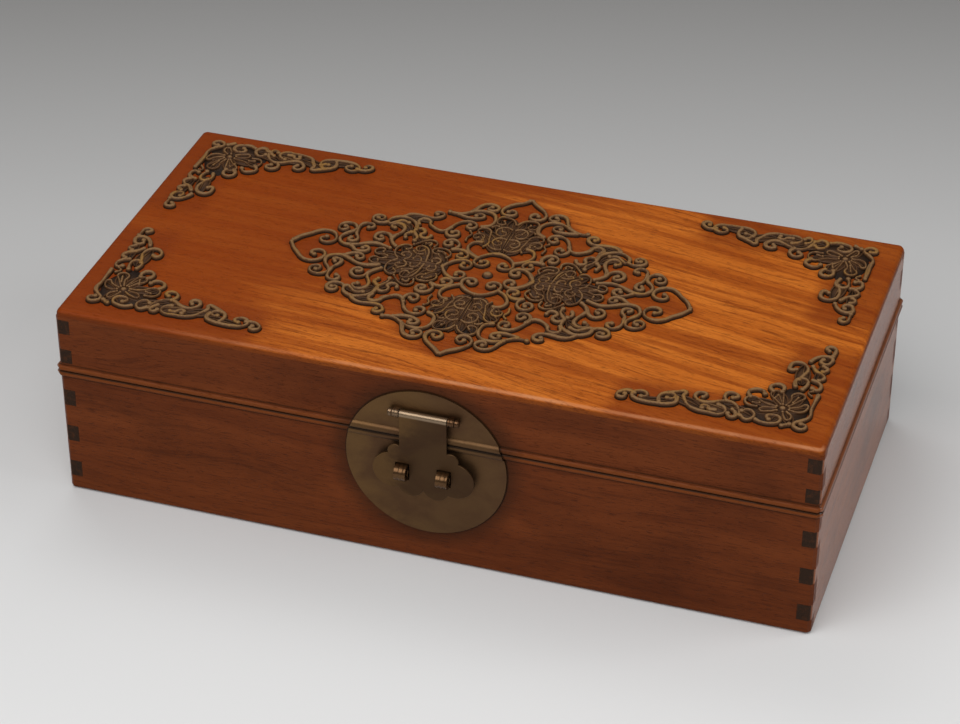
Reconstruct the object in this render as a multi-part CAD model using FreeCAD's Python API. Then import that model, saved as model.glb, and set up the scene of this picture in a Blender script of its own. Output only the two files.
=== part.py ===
import FreeCAD, Part
import math
import os
from FreeCAD import Vector

# A wooden box for ink sticks and an ink stone, in millimetres.
# The origin is the centre of the underside; X runs along the front, Y to the back, Z up.

# The carcase: two dovetailed frames of boards that meet at the seam
length = 400.0
width = 198.0
seam_height = 75.5
lid_height = 36.5
board = 7.6
seam_gap = 0.2
arris_flat = 1.6
top_corner_round = 3.4
top_round = 3.2

# The bead along each rim, with its crest trimmed flat at the rim
bead_radius = 1.6
bead_trim = 0.08

# Dovetails: the side boards carry the tails, whose end grain shows on the front and back
tail_height = 9.6
lid_tail_height = 8.4
tail_taper = 0.16
base_tails = 3
lid_tails = 2
tail_foot_margin = 8.7
tail_rim_margin = 12.1
lid_tail_top_margin = 1.8
lid_tail_rim_margin = 4.4
rim_mitre = 3.8

# The bottom panel is tongued into the boards; the top board laps over the lid's frame
bottom_thickness = 8.0
tongue_thickness = 3.0
tongue_height = 2.5
tongue_length = 3.0
panel_play = 0.2
top_thickness = 7.6
top_lip = 4.0

# Inner partitions: a bay for the stone on the left, long rows for the sticks on the right
stone_bay = 150.0
stick_rows = 3
partition_thickness = 5.0
partition_height = 46.0
divider_thickness = 4.0
divider_height = 38.0
housing_depth = 2.0
housing_play = 0.2

# The round lock plate, split at the seam
lock_radius = 42.5
lock_below_seam = 14.5
plate_thickness = 1.0

# The hasp, its pin and the two lugs that carry it on the lid
hasp_axis_above_seam = 15.0
hasp_axis_out = 3.4
hasp_barrel_radius = 2.0
hasp_thickness = 1.2
strap_width = 25.0
hasp_pin_radius = 1.1
running_clearance = 0.05
lug_gap = 0.3
lug_width = 3.4
lug_radius = 2.3
lug_tang = 2.8
finial_length = 2.4
finial_radius = 2.1

# The hasp's cloud-shaped head: three pairs of round lobes, placed below the hasp's axis
shoulder_lobe = (14.5, 22.3, 4.2)
side_lobe = (16.5, 34.0, 10.4)
foot_lobe = (6.6, 41.0, 7.0)

# The two staples that pass through the hasp, with one straight hole for the lock's bar
staple_spacing = 22.0
staple_below_seam = 18.5
staple_width = 6.2
staple_height = 8.4
eye_radius = 1.9
eye_wall = 1.6
eye_clearance = 0.2
staple_tang = 5.0
slot_clearance = 0.5
clinch_thickness = 1.0
clinch_length = 6.0

# The two hinges on the back
hinge_spacing = 240.0
hinge_width = 38.0
hinge_height = 19.0
leaf_thickness = 1.0
leaf_seam_clearance = 0.6
hinge_barrel_radius = 2.2
hinge_pin_radius = 1.2
knuckle_length = 8.0
knuckle_gap = 0.2
barrel_clearance = 0.3
lid_stop_angle = 100.0

# The carved ornaments glued on the lid. A drawing and the width of its ribbons are in
# hundredths of its reach along the front, so that the whole ornament follows its reach
ornament_height = 2.8
medallion_reach = (108.5, 79.0)
medallion_aspect = 0.728
medallion_ribbon_width = 2.12
corner_reach = (93.0, 75.0)
corner_aspect = 0.806
corner_ribbon_width = 2.47
corner_inset = (11.0, 10.5)
curl_tightening = 0.3
chord_turn = math.radians(60)

# Places worked out from the sizes above
half_length = length / 2
half_width = width / 2
top_height = seam_height + lid_height
lock_centre = seam_height - lock_below_seam
hasp_axis_height = seam_height + hasp_axis_above_seam
staple_centre = seam_height - staple_below_seam
base_rim = seam_height - seam_gap / 2
lid_rim = seam_height + seam_gap / 2
frame_top = top_height - top_lip
inner_x = half_length - board
inner_y = half_width - board
beyond = 2 * bead_radius + 2 * plate_thickness
front_plate_face = -half_width - plate_thickness
hasp_axis_y = -half_width - hasp_axis_out
hasp_front = -hasp_axis_out - hasp_barrel_radius
stop_half = math.radians(lid_stop_angle / 2)
bead_rise = bead_radius - bead_trim
bead_centre_rise = bead_rise + seam_gap / 2
hinge_out = (bead_radius - bead_centre_rise * math.cos(stop_half)) / math.sin(stop_half)
hinge_y = half_width + hinge_out
barrel_half = 1.5 * knuckle_length


def block(x0, x1, y0, y1, z0, z1):
    return Part.makeBox(x1 - x0, y1 - y0, z1 - z0, Vector(x0, y0, z0))


def rod(radius, x0, x1, y, z):
    return Part.makeCylinder(radius, x1 - x0, Vector(x0, y, z), Vector(1, 0, 0))


def mirrored(shape, x_side, y_side):
    if x_side < 0:
        shape = shape.mirror(Vector(0, 0, 0), Vector(1, 0, 0))
    if y_side < 0:
        shape = shape.mirror(Vector(0, 0, 0), Vector(0, 1, 0))
    return shape


def fused(shapes):
    if len(shapes) == 1:
        return shapes[0]
    return shapes[0].multiFuse(shapes[1:]).removeSplitter()


# The outside of a frame: its upright arrises are eased by narrow flats
def eased_prism(z0, z1):
    solid = block(-half_length, half_length, -half_width, half_width, z0, z1)
    return solid.makeChamfer(arris_flat, upright_edges(solid))


def upright_edges(solid):
    return [e for e in solid.Edges if abs(e.Vertexes[0].Z - e.Vertexes[-1].Z) > top_round / 10]


def level_edges(solid, z):
    return [e for e in solid.Edges if all(abs(v.Z - z) < 1e-6 for v in e.Vertexes)]


# The bead follows the sides and the flat of each eased arris
def bead_ring(z):
    x = half_length - arris_flat
    y = half_width - arris_flat
    path = [Vector(x, half_width, z), Vector(-x, half_width, z), Vector(-half_length, y, z),
            Vector(-half_length, -y, z), Vector(-x, -half_width, z), Vector(x, -half_width, z),
            Vector(half_length, -y, z), Vector(half_length, y, z)]
    mitre = 2 * bead_radius / math.cos(math.pi / 8)
    strips = []
    for i, start in enumerate(path):
        end = path[(i + 1) % len(path)]
        before = (start - path[i - 1]).normalize()
        along = (end - start).normalize()
        after = (path[(i + 2) % len(path)] - end).normalize()
        out_start = outward_of(before + along) * mitre
        out_end = outward_of(along + after) * mitre
        reach = Vector(0, 0, 2 * bead_radius)
        corners = [start - out_start, end - out_end, end + out_end, start + out_start]
        corners = [corner - reach for corner in corners]
        strip = Part.Face(Part.makePolygon(corners + corners[:1])).extrude(reach * 2)
        overrun = along * (2 * bead_radius)
        span = (end - start).Length + 4 * bead_radius
        strips.append(Part.makeCylinder(bead_radius, span, start - overrun, along).common(strip))
    return strips


def outward_of(direction):
    return Vector(direction.y, -direction.x, 0).normalize()


# The crest of a bead is trimmed flat with its rim
def past_rim(rim, upward):
    z0, z1 = sorted((rim, rim + upward * bead_radius))
    x = half_length + beyond
    y = half_width + beyond
    return block(-x, x, -y, y, z0, z1)


# The hollow through a frame, cut before it is parted into boards
def frame_hollow(z0, z1):
    return block(-inner_x, inner_x, -inner_y, inner_y, z0, z1)


# What the leaves and barrels of the hinges need cut out of both frames
def hinge_clearances():
    cuts = []
    for side in (-1, 1):
        x = side * hinge_spacing / 2
        reach = hinge_width / 2 + barrel_clearance
        cuts.append(block(x - reach, x + reach, half_width, half_width + beyond,
                          seam_height - hinge_height, seam_height + hinge_height))
        cuts.append(rod(hinge_barrel_radius + barrel_clearance, x - barrel_half - barrel_clearance,
                        x + barrel_half + barrel_clearance, hinge_y, seam_height))
    return cuts


# The tangs of the staples and lugs pass through the plate and the front board
def tang_block(x, half_x, z, half_z):
    return block(x - half_x, x + half_x, front_plate_face, -inner_y, z - half_z, z + half_z)


def staple_places():
    return [-staple_spacing / 2, staple_spacing / 2]


def lug_places():
    reach = strap_width / 2 + lug_gap + lug_width / 2
    return [-reach, reach]


def staple_tangs():
    return [tang_block(x, staple_width / 2, staple_centre, staple_tang / 2) for x in staple_places()]


def lug_tangs():
    return [tang_block(x, lug_width / 2, hasp_axis_height, lug_tang / 2) for x in lug_places()]


# One tail of a side board: narrow at its root, wide where it shows on the front or back
def tail(z, height):
    root = height / 2 - tail_taper * board
    corners = [Vector(inner_x, inner_y, z - root), Vector(inner_x, half_width, z - height / 2),
               Vector(inner_x, half_width, z + height / 2), Vector(inner_x, inner_y, z + root)]
    return Part.Face(Part.makePolygon(corners + corners[:1])).extrude(Vector(board, 0, 0))


def mitre_wedge(z0, z1):
    reach = board + beyond
    corners = [Vector(inner_x, inner_y, z0), Vector(inner_x + reach, inner_y, z0),
               Vector(inner_x + reach, inner_y + reach, z0)]
    return Part.Face(Part.makePolygon(corners + corners[:1])).extrude(Vector(0, 0, z1 - z0))


def tail_row(lowest, highest, count, height):
    pitch = (highest - lowest) / (count - 1) if count > 1 else 0.0
    return [tail(lowest + i * pitch, height) for i in range(count)]


# A frame is parted so that each board keeps its own share of the corner joints
def parted_boards(frame, corner_claims, z0, z1):
    boards = {}
    for name, side in (("left", -1), ("right", 1)):
        x0, x1 = sorted((side * inner_x, side * (half_length + beyond)))
        region = [block(x0, x1, -inner_y, inner_y, z0, z1)]
        for end in (-1, 1):
            region += [mirrored(claim, side, end) for claim in corner_claims]
        boards[name] = frame.common(fused(region))
    for name, end in (("front", -1), ("back", 1)):
        y0, y1 = sorted((end * inner_y, end * (half_width + beyond)))
        slab = block(-half_length - beyond, half_length + beyond, y0, y1, z0, z1)
        taken = [mirrored(claim, side, end) for side in (-1, 1) for claim in corner_claims]
        boards[name] = frame.common(slab).cut(taken)
    return boards


def base_frame():
    outside = eased_prism(0, base_rim)
    outside = outside.makeChamfer(arris_flat, level_edges(outside, 0))
    outside = outside.fuse(bead_ring(base_rim - bead_rise)).cut(past_rim(base_rim, 1))
    groove_x = inner_x + tongue_length
    groove_y = inner_y + tongue_length
    groove = block(-groove_x, groove_x, -groove_y, groove_y,
                   tongue_height, tongue_height + tongue_thickness)
    cuts = [frame_hollow(0, base_rim), groove]
    cuts += hinge_clearances() + staple_tangs() + partition_blanks(0.0)
    return outside.cut(cuts)


def base_boards():
    lowest = tail_foot_margin + tail_height / 2
    highest = base_rim - tail_rim_margin - tail_height / 2
    claims = tail_row(lowest, highest, base_tails, tail_height)
    claims.append(mitre_wedge(base_rim - rim_mitre, base_rim))
    boards = parted_boards(base_frame(), claims, 0, base_rim)
    return {"box_%s_board" % name: solid for name, solid in boards.items()}


def lid_frame():
    outside = eased_prism(lid_rim, frame_top).fuse(bead_ring(lid_rim + bead_rise))
    outside = outside.cut(past_rim(lid_rim, -1))
    return outside.cut([frame_hollow(lid_rim, frame_top)] + hinge_clearances() + lug_tangs())


def lid_boards():
    lowest = lid_rim + lid_tail_rim_margin + lid_tail_height / 2
    highest = frame_top - lid_tail_top_margin - lid_tail_height / 2
    claims = tail_row(lowest, highest, lid_tails, lid_tail_height)
    claims.append(mitre_wedge(lid_rim, lid_rim + rim_mitre))
    boards = parted_boards(lid_frame(), claims, lid_rim, frame_top)
    return {"lid_%s_board" % name: solid for name, solid in boards.items()}


def bottom_panel():
    x = inner_x - panel_play
    y = inner_y - panel_play
    body = block(-x, x, -y, y, 0, bottom_thickness)
    x += tongue_length
    y += tongue_length
    tongue = block(-x, x, -y, y, tongue_height, tongue_height + tongue_thickness)
    return body.fuse(tongue).removeSplitter()


def top_board():
    lip = block(-half_length, half_length, -half_width, half_width, frame_top, top_height)
    lip = lip.makeFillet(top_corner_round, upright_edges(lip))
    rounding = min(top_round, 0.95 * top_lip, 0.95 * top_corner_round)
    lip = lip.makeFillet(rounding, level_edges(lip, top_height))
    x = inner_x - panel_play
    y = inner_y - panel_play
    rebate = block(-x, x, -y, y, top_height - top_thickness, frame_top)
    return lip.fuse(rebate).removeSplitter()


# The partition and dividers, with their ends drawn in by a little play; zero play gives
# the housings that they sit in
def partition_blanks(play):
    x0 = stone_bay - inner_x
    x1 = x0 + partition_thickness
    reach_y = inner_y + housing_depth - play
    foot = bottom_thickness
    blanks = [block(x0, x1, -reach_y, reach_y, foot, foot + partition_height)]
    clear_row = (2 * inner_y - (stick_rows - 1) * divider_thickness) / stick_rows
    for row in range(1, stick_rows):
        y1 = -inner_y + row * (clear_row + divider_thickness)
        blanks.append(block(x1 - housing_depth + play, inner_x + housing_depth - play,
                            y1 - divider_thickness, y1, foot, foot + divider_height))
    return blanks


def partitions():
    blanks = partition_blanks(housing_play)
    housings = partition_blanks(0.0)[1:]
    parts = {"stone_partition": blanks[0].cut(housings)}
    for row, blank in enumerate(blanks[1:], 1):
        parts["stick_divider_%d" % row] = blank
    return parts


# A lock plate lies on the board and rises over the bead as a rib
def lock_plate(lower):
    rim = base_rim if lower else lid_rim
    bead_z = rim - bead_rise if lower else rim + bead_rise
    disc = Part.makeCylinder(lock_radius, beyond, Vector(0, -half_width - beyond, lock_centre),
                             Vector(0, 1, 0))
    sheet = block(-lock_radius, lock_radius, front_plate_face, -half_width, 0, top_height)
    rib = rod(bead_radius + plate_thickness, -lock_radius, lock_radius, -half_width, bead_z)
    bead = rod(bead_radius, -lock_radius - 1, lock_radius + 1, -half_width, bead_z)
    z0, z1 = (0, rim) if lower else (rim, top_height)
    half_space = block(-lock_radius, lock_radius, -half_width - beyond, -half_width, z0, z1)
    plate = sheet.fuse(rib).common(disc).common(half_space)
    tangs = staple_tangs() if lower else lug_tangs()
    return plate.cut([bead] + tangs).removeSplitter()


# How far the round nose of a staple stands out: its centre, measured along Y
def nose_y():
    front = hasp_front - eye_clearance - 2 * eye_radius - eye_wall
    return -half_width + front + staple_height / 2


def eye_y():
    return -half_width + hasp_front - eye_clearance - eye_radius


def clinched_tang(x, half_x, z, half_z):
    inside = block(x - half_x, x + half_x, -inner_y, -inner_y + clinch_thickness,
                   z - half_z - clinch_length, z + half_z + clinch_length)
    return tang_block(x, half_x, z, half_z).fuse(inside)


# A staple stands on the plate as a stem with a round nose, and its tang is clinched inside
def staple(x):
    half = staple_width / 2
    nose = staple_height / 2
    stem = block(x - half, x + half, nose_y(), front_plate_face,
                 staple_centre - nose, staple_centre + nose)
    body = stem.fuse(rod(nose, x - half, x + half, nose_y(), staple_centre))
    body = body.cut(rod(eye_radius, x - half - 1, x + half + 1, eye_y(), staple_centre))
    return fused([body, clinched_tang(x, half, staple_centre, staple_tang / 2)])


def hasp_lug(x):
    half = lug_width / 2
    knuckle = rod(lug_radius, x - half, x + half, hasp_axis_y, hasp_axis_height)
    stem = block(x - half, x + half, hasp_axis_y, front_plate_face,
                 hasp_axis_height - lug_tang / 2, hasp_axis_height + lug_tang / 2)
    lug = fused([knuckle, stem, clinched_tang(x, half, hasp_axis_height, lug_tang / 2)])
    lug = lug.cut(rod(hasp_pin_radius, x - half - 1, x + half + 1, hasp_axis_y, hasp_axis_height))
    hidden = block(x - lug_width, x + lug_width, front_plate_face, -half_width,
                   hasp_axis_height + lug_tang / 2, hasp_axis_height + lug_tang / 2 + lug_radius)
    return lug.cut([hidden, hidden.translated(Vector(0, 0, -lug_tang - lug_radius))])


# The pin ends in round finials outside the lugs
def hasp_pin():
    lug_end = strap_width / 2 + lug_gap + lug_width
    pin = rod(hasp_pin_radius, -lug_end, lug_end, hasp_axis_y, hasp_axis_height)
    finials = [rod(finial_radius, x, x + finial_length, hasp_axis_y, hasp_axis_height)
               for x in (-lug_end - finial_length, lug_end)]
    return fused([pin] + finials)


# Slots are long enough for the hasp to swing past the round noses of the staples
def hasp_slots():
    nose = staple_height / 2
    top = staple_centre + nose + slot_clearance
    reach = math.hypot(hasp_axis_y - nose_y(), hasp_axis_height - staple_centre) + nose
    foot = hasp_axis_height - reach - slot_clearance
    half = staple_width / 2 + slot_clearance
    front = hasp_axis_y - hasp_barrel_radius
    return [block(x - half, x + half, front - 1, front + hasp_thickness + 1, foot, top)
            for x in staple_places()]


def hasp():
    front = hasp_axis_y - hasp_barrel_radius
    half = strap_width / 2
    lobes = []
    for across, below, radius in (shoulder_lobe, side_lobe, foot_lobe):
        for side in (-1, 1):
            centre = Vector(side * across, front, hasp_axis_height - below)
            lobes.append(Part.makeCylinder(radius, hasp_thickness, centre, Vector(0, 1, 0)))
    strap = block(-half, half, front, front + hasp_thickness,
                  hasp_axis_height - foot_lobe[1], hasp_axis_height)
    barrel = rod(hasp_barrel_radius, -half, half, hasp_axis_y, hasp_axis_height)
    bore = rod(hasp_pin_radius + running_clearance, -half - 1, half + 1, hasp_axis_y, hasp_axis_height)
    return fused([strap, barrel] + lobes).cut([bore] + hasp_slots()).removeSplitter()


# A hinge leaf: a plate with its own share of the barrel. The pin is headed over in the
# knuckles of the lower leaf and is one with them; the lid's knuckle turns on it.
def hinge_leaf(side, lower):
    x = side * hinge_spacing / 2
    reach = hinge_width / 2
    own, other, way = ([-1, 1], [0], -1) if lower else ([0], [-1, 1], 1)
    z0, z1 = sorted((seam_height + way * leaf_seam_clearance, seam_height + way * hinge_height))
    plate = block(x - reach, x + reach, half_width, half_width + leaf_thickness, z0, z1)
    for place in other:
        middle = x + place * knuckle_length
        spread = knuckle_length / 2 + barrel_clearance
        plate = plate.cut(rod(hinge_barrel_radius + barrel_clearance, middle - spread,
                              middle + spread, hinge_y, seam_height))
    leaf = [plate]
    half = (knuckle_length - knuckle_gap) / 2
    z0, z1 = sorted((seam_height, seam_height + way * (hinge_barrel_radius + 1)))
    for place in own:
        middle = x + place * knuckle_length
        leaf.append(rod(hinge_barrel_radius, middle - half, middle + half, hinge_y, seam_height))
        leaf.append(block(middle - half, middle + half, half_width, half_width + leaf_thickness,
                          z0, z1))
    if lower:
        leaf.append(rod(hinge_pin_radius, x - barrel_half / 2, x + barrel_half / 2, hinge_y,
                        seam_height))
        return fused(leaf)
    bore = rod(hinge_pin_radius + running_clearance, x - reach, x + reach, hinge_y, seam_height)
    return fused(leaf).cut(bore)


def off(centre, distance, angle):
    return Vector(centre[0] + distance * math.cos(angle), centre[1] + distance * math.sin(angle), 0)


# A drawing of ornament: its outlines are stretched onto the top of the lid and raised
class Drawing:
    def __init__(self, origin, reach, aspect, ribbon_width, way=1):
        self.origin = Vector(origin[0], origin[1], top_height)
        self.step_x = way * reach[0] / 100
        self.step_y = way * reach[1] / 100 / aspect
        self.ribbon_width = ribbon_width

    def raised(self, outline):
        corners = [self.origin + Vector(point.x * self.step_x, point.y * self.step_y, 0)
                   for point in outline]
        face = Part.Face(Part.makePolygon(corners + corners[:1]))
        return face.extrude(Vector(0, 0, ornament_height))

    # A crozier is a stem that sweeps in from its root and curls inwards to its eye. The
    # knife leaves it in short flats, so its line is a chain of chords.
    def crozier(self, root, eye, radius, start, turns, hand):
        angle = math.radians(start)
        head = Vector(math.cos(angle), math.sin(angle), 0)
        entry = Vector(eye[0], eye[1], 0) + head * radius
        to_root = Vector(root[0], root[1], 0) - entry
        left = head * -hand
        shift = to_root.dot(to_root) / (2 * left.dot(to_root))
        pivot = entry + left * shift
        spoke = to_root - left * shift
        first = math.atan2(spoke.y, spoke.x)
        last = math.atan2(-left.y * shift, -left.x * shift)
        swing = (last - first) % (2 * math.pi)
        if shift < 0:
            swing -= 2 * math.pi
        steps = max(2, round(abs(swing) / chord_turn))
        line = [off(pivot, abs(shift), first + swing * i / steps) for i in range(steps)]
        steps = max(3, round(2 * math.pi * turns / chord_turn))
        for i in range(steps + 1):
            share = i / steps
            narrowed = radius * (1 - 2 * curl_tightening * turns * share)
            line.append(off(eye, narrowed, angle + hand * 2 * math.pi * turns * share))
        return self.ribbon(line)

    # A ribbon along a line of chords, with its corners on the bisectors of the turns
    def ribbon(self, line):
        left_side = []
        right_side = []
        for i, point in enumerate(line):
            last = i + 1 == len(line)
            before = (line[1] - point if i == 0 else point - line[i - 1]).normalize()
            after = before if last else (line[i + 1] - point).normalize()
            along = (before + after).normalize()
            half = self.ribbon_width / 2 / max(along.dot(before), 0.5)
            side = Vector(-along.y, along.x, 0) * half
            left_side.append(point + side)
            right_side.append(point - side)
        return self.raised(left_side + right_side[::-1])

    # A petal or leaf from its foot to its tip, bowed to one side if asked
    def petal(self, foot, tip, breadth, bow=0.0):
        along = Vector(tip[0] - foot[0], tip[1] - foot[1], 0)
        across = Vector(-along.y, along.x, 0).normalize()
        outline = []
        for side, stations in ((1, (0.0, 0.3, 0.65)), (-1, (1.0, 0.65, 0.3))):
            for share in stations:
                swell = 4 * share * (1 - share) * (bow + side * breadth / 2)
                outline.append(Vector(foot[0], foot[1], 0) + along * share + across * swell)
        return self.raised(outline)

    # A fan of petals round a root, seen as one outline with a notch between two petals
    def fan(self, root, reach, depth, middle, spread, count):
        step = math.radians(spread) / count
        first = math.radians(middle) - step * count / 2
        outline = []
        for i in range(count):
            for lean, share in ((0.0, 0.0), (0.25, 0.8), (0.5, 1.0), (0.75, 0.8)):
                outline.append(off(root, depth + (reach - depth) * share,
                                   first + (i + lean) * step))
        if spread < 360:
            outline.append(off(root, depth, first + count * step))
            outline.append(Vector(*root, 0))
        return self.raised(outline)


# Croziers of one quarter of the medallion: root, eye, radius, start, turns and hand
quarter_croziers = [
    ((100.0, 0.0), (84.3, 8.1), 5.7, 40, 0.95, 1),
    ((50.5, 1.0), (74.2, 10.7), 5.3, -90, 0.95, 1),
    ((79.3, 11.5), (69.3, 24.0), 4.4, 0, 0.85, 1),
    ((65.2, 24.4), (56.7, 30.4), 4.2, 180, 0.85, -1),
    ((55.6, 26.9), (39.6, 45.6), 4.1, -90, 0.85, -1),
    ((40.1, 42.4), (28.1, 50.7), 4.1, -90, 0.85, -1),
    ((25.1, 48.5), (15.3, 57.1), 4.3, 180, 0.85, -1),
    ((0.0, 72.8), (6.6, 59.0), 4.8, 20, 0.95, -1),
    ((0.0, 19.0), (5.5, 10.0), 4.3, 30, 0.85, -1),
    ((20.3, 0.0), (11.4, 5.0), 4.1, 45, 0.85, 1),
]


# The medallion: four fans of petals round a star, framed by pairs of croziers
def medallion():
    drawing = Drawing((0, 0), medallion_reach, medallion_aspect, medallion_ribbon_width)
    shapes = [drawing.crozier(*item) for item in quarter_croziers]
    shapes += [drawing.petal((36.9, 11.0), (55.3, 29.5), 7.4),
               drawing.petal((12.9, 33.2), (41.5, 42.8), 5.5)]
    quarter = fused(shapes)
    quarters = [mirrored(quarter, x_side, y_side) for x_side in (-1, 1) for y_side in (-1, 1)]
    middle = [drawing.fan((0, 0), 9.2, 2.8, 90, 360, 4)]
    for way in (1, -1):
        middle.append(drawing.fan((way * 16.6, 0), 35.0, 18.4, 90 - way * 90, 124, 7))
        middle.append(drawing.fan((0, way * 14.7), 33.2, 18.4, way * 90, 120, 5))
    return fused(quarters + middle)


# The corner piece of the back right corner, drawn from the lid's corner inwards
def corner_piece():
    origin = (half_length - corner_inset[0], half_width - corner_inset[1])
    drawing = Drawing(origin, corner_reach, corner_aspect, corner_ribbon_width, -1)
    return fused([
        drawing.crozier((38.0, 13.0), (54.0, 17.0), 4.7, -90, 0.85, 1),
        drawing.crozier((64.0, 9.5), (94.0, 7.5), 5.2, -90, 0.95, 1),
        drawing.crozier((11.5, 38.0), (6.0, 75.0), 4.7, 0, 0.95, 1),
        drawing.fan((17.0, 17.0), 17.0, 9.5, 0, 360, 8),
        drawing.petal((28.0, 11.0), (71.0, 9.0), 9.5, -2.0),
        drawing.petal((12.5, 28.0), (10.5, 60.0), 8.5, 2.0),
    ])


def all_nodes():
    nodes = base_boards()
    nodes["box_bottom_panel"] = bottom_panel()
    nodes.update(partitions())
    nodes.update(lid_boards())
    nodes["lid_top_board"] = top_board()
    nodes["lock_plate_lower"] = lock_plate(True)
    nodes["lock_plate_upper"] = lock_plate(False)
    nodes["hasp"] = hasp()
    nodes["hasp_pin"] = hasp_pin()
    for name, x in zip(("left", "right"), staple_places()):
        nodes["staple_%s" % name] = staple(x)
    for name, x in zip(("left", "right"), lug_places()):
        nodes["hasp_lug_%s" % name] = hasp_lug(x)
    for name, side in (("left", -1), ("right", 1)):
        nodes["hinge_base_leaf_%s" % name] = hinge_leaf(side, True)
        nodes["hinge_lid_leaf_%s" % name] = hinge_leaf(side, False)
    nodes["medallion"] = medallion()
    corner = corner_piece()
    for y_name, y_side in (("front", -1), ("back", 1)):
        for x_name, x_side in (("left", -1), ("right", 1)):
            nodes["corner_ornament_%s_%s" % (y_name, x_name)] = mirrored(corner, x_side, y_side)
    return nodes


os.makedirs("parts", exist_ok=True)
for node_name, node_shape in all_nodes().items():
    node_shape.exportStep("parts/%s.step" % node_name)
    print(node_name, len(node_shape.Solids), round(node_shape.Volume, 1), node_shape.isValid())
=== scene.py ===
import bmesh
import bpy
import math
import random
from mathutils import Matrix, Vector


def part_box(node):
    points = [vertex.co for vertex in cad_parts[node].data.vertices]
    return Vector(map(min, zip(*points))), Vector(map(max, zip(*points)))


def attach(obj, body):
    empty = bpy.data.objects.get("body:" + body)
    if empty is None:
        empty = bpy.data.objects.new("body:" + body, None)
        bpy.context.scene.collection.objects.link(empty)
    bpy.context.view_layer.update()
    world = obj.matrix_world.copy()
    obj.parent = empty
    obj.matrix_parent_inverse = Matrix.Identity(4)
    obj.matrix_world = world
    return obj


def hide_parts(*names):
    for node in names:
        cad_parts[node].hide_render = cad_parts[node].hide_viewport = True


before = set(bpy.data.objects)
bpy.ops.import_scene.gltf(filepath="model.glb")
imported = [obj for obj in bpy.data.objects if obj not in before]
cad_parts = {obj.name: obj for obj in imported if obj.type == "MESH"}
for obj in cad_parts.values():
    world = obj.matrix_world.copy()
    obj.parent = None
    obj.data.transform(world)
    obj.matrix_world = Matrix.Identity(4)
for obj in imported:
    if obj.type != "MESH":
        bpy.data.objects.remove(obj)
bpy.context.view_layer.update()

# The boards of the box and of the lid's frame. They are planed from dark reddish hardwood,
# dovetailed at the corners, waxed, and rubbed smooth by use. Each board is a softened copy of
# its solid: arrises are rounded over, and the joints show as the finest of grooves.
arris_round = 0.0008
joint_round = 0.00008
shallow_turn = 40
sharp_turn = 50


def limits(node):
    """A node's lowest and highest corners, in millimetres."""
    return [Vector(corner) * 1000 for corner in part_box(node)]


half_length, half_width, top_face = limits("lid_top_board")[1]
seam_height = (limits("box_front_board")[1].z + limits("lid_front_board")[0].z) / 2
plate_radius = limits("lock_plate_lower")[1].x
plate_middle = limits("lock_plate_lower")[0].z + plate_radius


class Value:
    """A number that varies over a surface. Python's operators add Math nodes."""

    def __init__(self, finish, socket):
        self.finish = finish
        self.socket = socket

    def math(self, operation, first, second=0.0):
        return self.finish.node("ShaderNodeMath", {"operation": operation}, {0: first, 1: second})

    def __add__(self, other):
        return self.math("ADD", self, other)

    __radd__ = __add__

    def __sub__(self, other):
        return self.math("SUBTRACT", self, other)

    def __rsub__(self, other):
        return self.math("SUBTRACT", other, self)

    def __mul__(self, other):
        return self.math("MULTIPLY", self, other)

    __rmul__ = __mul__

    def __abs__(self):
        return self.math("ABSOLUTE", self)

    def step(self, low, high):
        settings = {"interpolation_type": "SMOOTHSTEP"}
        return self.finish.node("ShaderNodeMapRange", settings, {0: self, 1: low, 2: high})

    def larger(self, other):
        return self.math("MAXIMUM", self, other)

    def smaller(self, other):
        return self.math("MINIMUM", self, other)


class Finish:
    """A material whose nodes all come from one method."""

    def __init__(self, name):
        self.material = bpy.data.materials.new(name)
        self.material.use_nodes = True
        self.tree = self.material.node_tree
        self.shader = self.tree.nodes["Principled BSDF"]

    def node(self, kind, settings=None, sockets=None, output=0):
        node = self.tree.nodes.new(kind)
        for key, value in (settings or {}).items():
            setattr(node, key, value)
        for key, value in (sockets or {}).items():
            self.feed(node.inputs[key], value)
        return Value(self, node.outputs[output])

    def feed(self, socket, value):
        if isinstance(value, Value):
            self.tree.links.new(value.socket, socket)
        else:
            socket.default_value = value

    def surface(self, **sockets):
        """Feeds the shader's sockets, named in small letters."""
        for key, value in sockets.items():
            socket = key.replace("_", " ").title().replace("Ior", "IOR")
            self.feed(self.shader.inputs[socket], value)

    def millimetres(self):
        """The point's three coordinates on the whole object."""
        place = self.node("ShaderNodeTexCoord", output="Object")
        parts = [self.node("ShaderNodeSeparateXYZ", {}, {0: place}, axis) for axis in "XYZ"]
        return [part * 1000 for part in parts]

    def noise(self, x, y, z, detail=3.0, roughness=0.5, distortion=0.0):
        place = self.node("ShaderNodeCombineXYZ", {}, {0: x, 1: y, 2: z})
        sockets = {"Vector": place, "Scale": 1.0, "Detail": detail, "Roughness": roughness,
                   "Distortion": distortion}
        return self.node("ShaderNodeTexNoise", {}, sockets)

    def colours(self, share, first, second):
        """From the first colour to the second as the share goes from 0 to 1."""
        first, second = [(*tint, 1) if isinstance(tint, tuple) else tint for tint in (first, second)]
        sockets = {0: share, 6: first, 7: second}
        return self.node("ShaderNodeMix", {"data_type": "RGBA"}, sockets, 2)

    def relief(self, height, distance):
        return self.node("ShaderNodeBump", {}, {"Height": height, "Distance": distance})


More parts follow.
